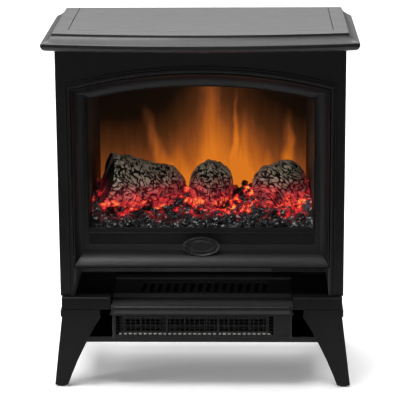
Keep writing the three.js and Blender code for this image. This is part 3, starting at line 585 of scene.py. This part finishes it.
# Each tongue: where it starts, where its tip is across and up, its half-width and its strength.
tongues = [
    (0.015, 0.007, 0.62, 0.021, 0.20),
    (0.022, 0.004, 0.54, 0.055, 0.10),
    (0.0535, 0.0550, 0.492, 0.0065, 0.24),
    (0.076, 0.073, 0.450, 0.034, 0.17),
    (0.069, 0.071, 0.45, 0.008, 0.12),
    (0.143, 0.139, 0.437, 0.013, 0.36),
    (-0.050, -0.106, 0.452, 0.015, 0.24),
    (-0.036, -0.040, 0.38, 0.018, 0.14),
    (0.103, 0.108, 0.37, 0.014, 0.10),
]
flame_level = 0.0
for start, tip_x, tip_z, half_width, strength in tongues:
    rise = (flame_z - flame_foot) / (tip_z - flame_foot)
    drift = flame_sway - (start + (tip_x - start) * rise)
    narrow = flames.eased(rise, 1.0, 0.1) * 0.65 + 0.35
    edge = 1 - abs(drift) / (half_width * narrow)
    tongue = flames.eased(edge, -0.5, 0.9) * flames.eased(rise, 1.0, 0.5)
    flame_level = tongue * strength + flame_level
flame_low = flames.node("ShaderNodeMath", {"operation": "MAXIMUM"}, {0: (0.469 - flame_z) / 0.1625, 1: 0.0})
flame_middle = (flame_x - 0.03) / 0.09
flame_middle = 2.718 ** (flame_middle * flame_middle * -1)
flame_streaks = flames.cloud(0.008, 3, stretch=(1, 1, 0.12), seed=9)
flame_drifts = flames.cloud(0.035, 3, stretch=(1, 1, 0.4), seed=12)
flame_level = flame_level + 0.05 + 0.26 * flame_middle + 0.66 * flame_low ** 1.5
flame_level = flame_level * (0.68 + 0.34 * flame_streaks + 0.30 * flame_drifts)
flames.feed("Emission Color", flames.shaded(
    flame_level,
    (0.0, (0.0012, 0.0006, 0.0004)),
    (0.2, (0.0080, 0.0030, 0.0010)),
    (0.4, (0.075, 0.0215, 0.0050)),
    (0.6, (0.225, 0.0560, 0.0115)),
    (0.8, (0.460, 0.112, 0.012)),
    (1.0, (0.75, 0.195, 0.015))))
flames.shader.inputs["Emission Strength"].default_value = 1.0
dress("flame_screen", flames.material)

# ---- Ember bed ----
# A moulded resin bed, hollow underneath for the lamp light: black coal and grey ash heaped along
# the front, with red glowing patches between the lumps.
bed_low, bed_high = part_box("ember_bed")
bed_front, bed_back = bed_low.y, bed_high.y
bed_front_half, bed_back_half = 0.1783, 0.1673
bed_columns = 150
bed_lines = 56
bed_ground = 0.2445
# Heaps of coal where the logs leave room: where each one is, how high it rises and how far it reaches.
bed_heaps = [
    (-0.172, -0.035, 0.028, 0.018), (-0.172, 0.005, 0.040, 0.016),
    (-0.028, -0.012, 0.031, 0.018), (0.055, -0.006, 0.030, 0.017), (0.070, -0.006, 0.036, 0.018),
    (0.176, -0.040, 0.022, 0.020), (0.172, 0.000, 0.040, 0.014),
]


def bed_height(x, y):
    """Height of the bed: it falls towards the glass and is lumpy all over."""
    slope = 0.2525 + 0.0255 * min(1, max(0, (y - bed_front) / 0.036))
    lumps = noise.fractal(Vector((x * 70, y * 70, 1.7)), 0.9, 2.0, 3)
    heaped = 0
    for heap_x, heap_y, rise, reach in bed_heaps:
        away = ((x - heap_x) ** 2 + (y - heap_y) ** 2) / reach**2
        heaped = max(heaped, rise * math.exp(-away))
    return slope + heaped + 0.0028 * lumps


bed_rows = []
for line in range(bed_lines + 1):
    share = line / bed_lines
    y = bed_front + share * (bed_back - bed_front)
    half = bed_front_half + share * (bed_back_half - bed_front_half)
    across = [half * (2 * column / bed_columns - 1) for column in range(bed_columns + 1)]
    bed_rows.append([Vector((x, y, bed_height(x, y))) for x in across])
bed_rows = [[Vector((p.x, p.y, bed_ground)) for p in bed_rows[0]], *bed_rows]
bed_rows.append([Vector((p.x, p.y, bed_ground)) for p in bed_rows[-1]])
bed_shape = skinned(bed_rows, round_rows=False, back_to_first=True)

lump_random = random.Random(7)
lump_count = 420


def coal_lump(place, size, stone_seed):
    """A broken lump of coal or clinker, about size across."""
    shape = bmesh.new()
    bmesh.ops.create_icosphere(shape, subdivisions=2, radius=size / 2)
    spin = Euler((stone_seed * 1.3, stone_seed * 2.1, stone_seed * 0.7)).to_matrix()
    for corner in shape.verts:
        rough = noise.noise(corner.co * (1.6 / size) * 2 + Vector((stone_seed, 0, stone_seed * 2)))
        corner.co = spin @ (corner.co * (1 + 0.55 * rough))
        corner.co.z *= 0.8
        corner.co += place
    return shape


lump_tint = []
lump_shapes = [bed_shape]
for lump in range(lump_count):
    heap = lump_random.random() ** 1.4
    y = bed_front + 0.006 + heap * 0.09
    x = lump_random.uniform(-1, 1) * (bed_front_half - 0.006 - 0.09 * max(0, y - bed_front))
    size = lump_random.uniform(0.006, 0.014)
    lump_shapes.append(coal_lump(Vector((x, y, bed_height(x, y) + size * 0.22)), size, lump * 1.0))
bed_whole = gathered(lump_shapes)

coals = Finish("ember_resin", Specular_IOR_Level=0.4)
coal_x, coal_y, coal_z = coals.axes()
coal_shade = coals.cloud(0.0075, 4)
coal_fleck = coals.eased(coals.cloud(0.0035, 3, seed=2), 0.56, 0.66)
coal_fleck = coal_fleck * coals.eased(coals.cloud(0.02, 2, seed=3), 0.40, 0.54)
coal_colour = coals.shaded(
    coal_shade, (0.42, (0.002, 0.002, 0.003)), (0.56, (0.014, 0.016, 0.018)), (0.70, (0.16, 0.18, 0.19)))
coals.feed("Base Color", coals.mixed(coal_fleck, coal_colour, (0.55, 0.60, 0.60, 1)))
coals.feed("Roughness", 0.55 + 0.35 * coal_shade)
coals.relief(coals.cloud(0.0012, 4), 0.0006)
coal_heat = coals.eased(coal_y, bed_front + 0.012, bed_front + 0.036)
coal_patch = coals.eased(coals.cloud(0.018, 2, seed=4), 0.42, 0.62) * coals.eased(coal_shade, 0.6, 0.42)
coals.feed("Emission Color", coals.shaded(
    coal_heat * coal_patch,
    (0.0, (0, 0, 0)), (0.35, (0.30, 0.008, 0.012)), (0.7, (0.95, 0.03, 0.03)), (0.9, (1.0, 0.16, 0.04)),
    (1.0, (1.0, 0.45, 0.10))))
coals.shader.inputs["Emission Strength"].default_value = 1.0
piece("ember_bed_moulded", bed_whole, coals.material, "cabinet", ["ember_bed"], even=False)


# ---- Logs ----
# Three hollow resin logs, painted tan and grey over black cracks, with sawn or rounded ends.
# Their lower halves are left translucent, so the lamps below light them red.
def bark_log(start, end, start_radius, end_radius, rounding, sawn, seed):
    """A log from start to end, its bark raised in short slanting blocks between cracks."""
    around, stations = 230, 150
    start, end = Vector(start), Vector(end)
    way = (end - start).normalized()
    side = way.cross(Vector((0, 0, 1))).normalized()
    up = side.cross(way)
    length = (end - start).length
    rows, barks = [], []
    for station in range(stations + 1):
        share = station / stations
        radius = start_radius + (end_radius - start_radius) * share
        near_start = 1 if sawn else math.sqrt(max(0.0, 1 - max(0, 1 - share / rounding) ** log_bluntness))
        near_end = math.sqrt(max(0.0, 1 - max(0, 1 - (1 - share) / rounding) ** log_bluntness))
        row = []
        for step in range(around):
            angle = 2 * math.pi * step / around
            swell = 1 + 0.12 * noise.noise(Vector((share * 6, math.cos(angle) * 2, seed + 2 * math.sin(angle))))
            reach = radius * near_start * near_end * swell
            out = side * math.cos(angle) + up * math.sin(angle)
            spot = Vector((share * length, angle * radius * 0.9 + share * length * 0.35, seed))
            warp = noise.noise_vector(spot * 70)
            wave = noise.noise(Vector((spot.x * 105, spot.y * 190, seed)) + warp * 0.9)
            cross = noise.noise(Vector((spot.x * 150 + 40, spot.y * 95, seed)) + warp)
            bark = min(1.0, abs(wave) * 3.6, abs(cross) * 5 + 0.12)
            bark *= 0.85 + 0.15 * noise.noise(spot * 260)
            relief = 0.0062 * bark * min(1, near_start * 1.5) * min(1, near_end * 1.5)
            centre = start + way * (share * length)
            point = centre + out * max(0.0002, reach + relief - 0.003)
            below = max(0.0, (centre.z - point.z) / radius)
            core = start + way * (length * min(0.72, max(0.28, share)))
            spread = Vector((point.x - core.x, point.y - core.y, 0))
            if spread.length > 0.0001:
                point += spread.normalized() * log_spread * below ** 1.2
            point.z = max(point.z, log_foot)
            row.append(point)
            barks.append(bark)
        rows.append(row)
    shape = bmesh.new()
    bmesh.ops.create_grid(shape, x_segments=around, y_segments=stations, size=1)
    bark_layer = shape.verts.layers.float.new("bark")
    wrapped = [(point, bark) for row, first in zip(rows, range(0, len(barks), around))
               for point, bark in zip(row + row[:1], barks[first:first + around] + barks[first:first + 1])]
    for corner, (point, bark) in zip(shape.verts, wrapped):
        corner.co = point
        corner[bark_layer] = bark
    bmesh.ops.remove_doubles(shape, verts=shape.verts, dist=0.00003)
    bmesh.ops.dissolve_degenerate(shape, edges=shape.edges, dist=0.00002)
    bmesh.ops.holes_fill(shape, edges=[edge for edge in shape.edges if edge.is_boundary], sides=0)
    bmesh.ops.recalc_face_normals(shape, faces=shape.faces)
    return shape


log_foot = 0.268
log_spread = 0.015
log_bluntness = 1.6
bark = Finish("bark_resin", Specular_IOR_Level=0.25)
bark_height = bark.node("ShaderNodeAttribute", {"attribute_name": "bark"}, output="Fac")
bark_x, bark_y, bark_z = bark.axes()
bark_grain = bark.cloud(0.0025, 4)
bark_top = bark.eased(bark_height + 0.3 * (bark_grain - 0.5), 0.28, 0.66)
bark_paint = bark.shaded(
    bark.cloud(0.012, 3, seed=1),
    (0.3, (0.44, 0.36, 0.26)), (0.5, (0.66, 0.56, 0.42)), (0.7, (0.86, 0.76, 0.60)))
bark_low = bark.eased(bark_z + 0.03 * (bark.cloud(0.03, 2, seed=6) - 0.5), 0.338, 0.290)
bark_paint = bark.mixed(0.85 * bark_low, bark_paint, (0.10, 0.014, 0.018, 1))
bark.feed("Base Color", bark.mixed(bark_top, (0.006, 0.005, 0.005, 1), bark_paint))
bark.feed("Roughness", 0.62 + 0.25 * bark_grain)
bark.relief(bark_grain, 0.0007)
bark_red = bark_low * (0.22 + 0.62 * bark.eased(bark_height, 0.12, 0.55))
bark_red = bark_red * (0.4 + 0.75 * bark.eased(bark.cloud(0.018, 3, stretch=(1, 1, 1.6), seed=8), 0.34, 0.62))
bark.feed("Emission Color", bark.shaded(
    bark_red,
    (0.0, (0, 0, 0)), (0.3, (0.09, 0.005, 0.009)), (0.6, (0.36, 0.010, 0.020)), (0.82, (0.78, 0.035, 0.03)),
    (1.0, (1.0, 0.26, 0.05))))
bark.shader.inputs["Emission Strength"].default_value = 1.0
log_plans = [
    ("log_left", (-0.151, -0.024, 0.327), (-0.027, 0.007, 0.303), 0.0405, 0.029, 0.26, True, 2.0),
    ("log_centre", (-0.021, -0.010, 0.3145), (0.0495, 0.002, 0.3105), 0.0355, 0.037, 0.44, False, 9.0),
    ("log_right", (0.080, -0.006, 0.302), (0.169, 0.002, 0.318), 0.032, 0.040, 0.34, False, 16.0),
]
for log_name, *log_plan in log_plans:
    log_shape = bark_log(*log_plan)
    piece(log_name + "_barked", log_shape, bark.material, "cabinet", [log_name], even=False)

# ---- Lamps, flicker rod and their tray ----
# A plain steel tray under the chamber carries two candle lamps in ceramic holders. Behind the
# screen a motor turns a rod of bright vanes in a brass bush, which makes the flames move.
steel = Finish("inner_steel", Metallic=1.0)
steel.feed("Base Color", steel.shaded(
    steel.cloud(0.006, 4, stretch=(1, 1, 0.1)), (0.3, (0.36, 0.37, 0.38)), (0.75, (0.58, 0.59, 0.6))))
steel.feed("Roughness", 0.32 + 0.2 * (steel.cloud(0.003, 3, stretch=(0.1, 1, 1)) - 0.5))
steel.relief(steel.cloud(0.0012, 2, stretch=(0.08, 1, 1)), 0.00003)
ceramic = Finish("white_ceramic", Specular_IOR_Level=0.5)
ceramic.feed("Base Color", ceramic.shaded(
    ceramic.cloud(0.005, 3), (0.35, (0.72, 0.71, 0.67)), (0.7, (0.82, 0.81, 0.78))))
ceramic.feed("Roughness", 0.3 + 0.25 * (ceramic.cloud(0.003) - 0.5))
brass = Finish("brass_bush", Metallic=1.0)
brass.feed("Base Color", brass.shaded(
    brass.cloud(0.002, 3), (0.3, (0.45, 0.30, 0.10)), (0.75, (0.62, 0.44, 0.17))))
brass.feed("Roughness", 0.28 + 0.15 * brass.cloud(0.001))
lamp_glass = Finish("lamp_glass", Base_Color=(0.9, 0.75, 0.5, 1), Alpha=0.35)
lamp_glass.feed("Roughness", 0.06 + 0.1 * lamp_glass.cloud(0.01))
lamp_glass.feed("Emission Color", lamp_glass.shaded(
    lamp_glass.cloud(0.02), (0.2, (1.0, 0.45, 0.12)), (0.8, (1.0, 0.62, 0.25))))
lamp_glass.shader.inputs["Emission Strength"].default_value = 1.5
for steel_name in ("lamp_tray", "flicker_bracket", "flicker_motor", "flame_cutout"):
    softened(steel_name, steel.material, "cabinet", 0.0002)
softened("flicker_rod", steel.material, "flicker", 0.0001, 1)
softened("flicker_bush", brass.material, "cabinet", 0.0002)
for hand in ("left", "right"):
    softened("lampholder_" + hand, ceramic.material, "cabinet", 0.0006)
    softened("lamp_" + hand, lamp_glass.material, "cabinet", 0.0005)

# ---- Base frame, alcove and pan ----
# The plinth is a moulded frame with a rounded ledge in front, and two hearth plates are let into
# it beside the heater. A folded lining closes the alcove, and a shallow pan closes the underside.
# The heater's black is a slightly greyer coat. It is also painted much lighter than the other satin blacks, as
# painted light for the alcove, which the lamps barely reach.
heater_black = satin_black("heater_black", shade=0.026, gloss=0.42, grain=0.0006, specular=0.45)
# The alcove lining is painted far lighter than the other satin blacks: painted light for the alcove, which the lamps
# cannot reach.
lining_lit_black = satin_black("alcove_painted_light_black", shade=0.12, gloss=0.6, grain=0.0008, specular=0.4)
# The plinth is the same satin moulding, painted darker: painted shade for the dimmer light down at the plinth.
plinth_shaded_black = satin_black("plinth_shaded_black", shade=0.0045, gloss=0.42, specular=0.15)
softened("base_frame", plinth_shaded_black, "cabinet", 0.0009, 3)
softened("alcove_lining", lining_lit_black, "cabinet", 0.0004)
softened("base_pan", sheet_black, "cabinet", 0.0006)

# ---- Legs and glides ----
# Four splayed cast legs, each with a collar on top and two tapering outer walls that run out to a
# small solid foot. A rubber glide is pressed into each foot.
cast_black = satin_black("leg_black", shade=0.0045, gloss=0.5, grain=0.0016, depth=0.00012, specular=0.13)
rubber = Finish("black_rubber", Specular_IOR_Level=0.3)
rubber.feed("Base Color", rubber.shaded(
    rubber.cloud(0.003, 3), (0.3, (0.012, 0.012, 0.012)), (0.75, (0.026, 0.025, 0.024))))
rubber.feed("Roughness", 0.75 + 0.2 * rubber.cloud(0.001))
rubber.relief(rubber.cloud(0.0006, 2), 0.00008)
for corner_name in ("front_left", "front_right", "rear_left", "rear_right"):
    softened("leg_" + corner_name, cast_black, "cabinet", 0.001, 3)
    softened("glide_" + corner_name, rubber.material, "cabinet", 0.0008)

# ---- Fan heater ----
# A slotted hood over a pressed band, a rounded visor over the outlet and a moulded grille with
# open bays of fine mesh. Behind it are a steel casing, the element, a cut-out and the fan.
softened("heater_hood", heater_black, "cabinet", 0.0009, 3)
softened("heater_visor", moulding_black, "cabinet", 0.0011, 3)
grille_low, grille_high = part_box("outlet_grille")
bay_from, bay_to = -0.137, 0.114
bay_foot, bay_head = 0.0915, 0.122
grille_depth = grille_high.y - grille_low.y


def slab_block(low, high):
    """A square-edged block between two corners."""
    shape = bmesh.new()
    middle = (Vector(low) + Vector(high)) / 2
    size = Vector(high) - Vector(low)
    bmesh.ops.create_cube(shape, size=1)
    bmesh.ops.scale(shape, vec=size, verts=shape.verts)
    bmesh.ops.translate(shape, vec=middle, verts=shape.verts)
    return shape


grille_parts = []
frame_blocks = [
    ((grille_low.x, grille_low.z), (grille_high.x, bay_foot)),
    ((grille_low.x, bay_head), (grille_high.x, grille_high.z)),
    ((grille_low.x, bay_foot), (bay_from, bay_head)),
    ((bay_to, bay_foot), (grille_high.x, bay_head)),
    ((-0.0571, bay_foot), (-0.0541, bay_head)),
    ((0.024, bay_foot), (0.027, bay_head)),
]
for (x0, z0), (x1, z1) in frame_blocks:
    block = slab_block((x0, grille_low.y, z0), (x1, grille_high.y, z1))
    eased_edges(block, 0.0004)
    grille_parts.append(block)
tab_pitch, tab_half = 0.0079, 0.0024
tab_shapes = []
for tab in range(31):
    x = bay_from + 0.007 + tab * tab_pitch
    tab_shape = slab_block(
        (x - tab_half, grille_low.y + 0.0003, bay_foot - 0.0002),
        (x + tab_half, grille_low.y + 0.0022, bay_foot + 0.0022))
    eased_edges(tab_shape, 0.0006, 2)
    tab_shapes.append(tab_shape)
wire = 0.0005
mesh_y = grille_low.y + 0.0022
bar_count = 5
for bar in range(bar_count):
    z = bay_foot + (bar + 1) * (bay_head - bay_foot) / (bar_count + 1)
    grille_parts.append(slab_block((bay_from, mesh_y, z - wire), (bay_to, mesh_y + 2 * wire, z + wire)))
upright_count = 31
for upright in range(upright_count):
    x = bay_from + (upright + 1) * (bay_to - bay_from) / (upright_count + 1)
    grille_parts.append(slab_block((x - wire, mesh_y - 0.001, bay_foot), (x + wire, mesh_y, bay_head)))
grille_black = satin_black("grille_black", shade=0.007, gloss=0.5, grain=0.0006, specular=0.2)
piece("grille_moulded", gathered(grille_parts), grille_black, "cabinet", ["outlet_grille"])
softened("heater_casing", heater_black, "cabinet", 0.0002)
# Dark steel for the element and the fan scroll. It is partly the element's heat tint and partly painted shade for
# the dark inside of the heater behind the grille.
tinted_shaded_steel = Finish("heat_tinted_shaded_steel", Metallic=0.8)
tinted_shaded_steel.feed("Base Color", tinted_shaded_steel.shaded(
    tinted_shaded_steel.cloud(0.004, 4), (0.3, (0.03, 0.028, 0.027)), (0.75, (0.075, 0.068, 0.06))))
tinted_shaded_steel.feed("Roughness", 0.5 + 0.2 * tinted_shaded_steel.cloud(0.002))
tinted_shaded_steel.relief(tinted_shaded_steel.cloud(0.001), 0.00005)
bright_steel = Finish("bright_trim_steel", Metallic=0.9)
bright_steel.feed("Base Color", bright_steel.shaded(
    bright_steel.cloud(0.003, 3), (0.3, (0.30, 0.30, 0.30)), (0.75, (0.52, 0.52, 0.51))))
bright_steel.feed("Roughness", 0.45 + 0.2 * bright_steel.cloud(0.001))
piece("outlet_trim_tabs", gathered(tab_shapes), bright_steel.material, "cabinet")
softened("heating_element", tinted_shaded_steel.material, "cabinet", 0.0002)
softened("fan_scroll", tinted_shaded_steel.material, "cabinet", 0.0002)
for steel_name in ("thermal_cutout", "fan_motor"):
    softened(steel_name, steel.material, "cabinet", 0.0002)
softened("fan_bush", brass.material, "cabinet", 0.0003)
softened("fan_impeller", heater_black, "fan", 0.0002, 1)

# ---- Controls ----
# A small plate on the alcove's back wall holds three rocker switches and a round thermostat knob.
# Behind it sit the switch block and the thermostat's body, and a terminal block feeds them.
control_black = satin_black("control_black", shade=0.010, gloss=0.3, grain=0.0005, specular=0.4)
softened("control_plate", heater_black, "cabinet", 0.0006)
for number in (1, 2, 3):
    rocker_name = f"rocker_switch_{number}"
    softened(rocker_name, control_black, f"rocker_{number}", 0.0005)
softened("thermostat_knob", control_black, "knob", 0.0005)
softened("switch_block", heater_black, "cabinet", 0.0005)
for white_name in ("thermostat_body", "terminal_block"):
    softened(white_name, ceramic.material, "cabinet", 0.0005)

# ---- Cable gland ----
# A moulded rubber bush where the mains lead would leave the rear panel.
softened("cable_gland", rubber.material, "cabinet", 0.0008)
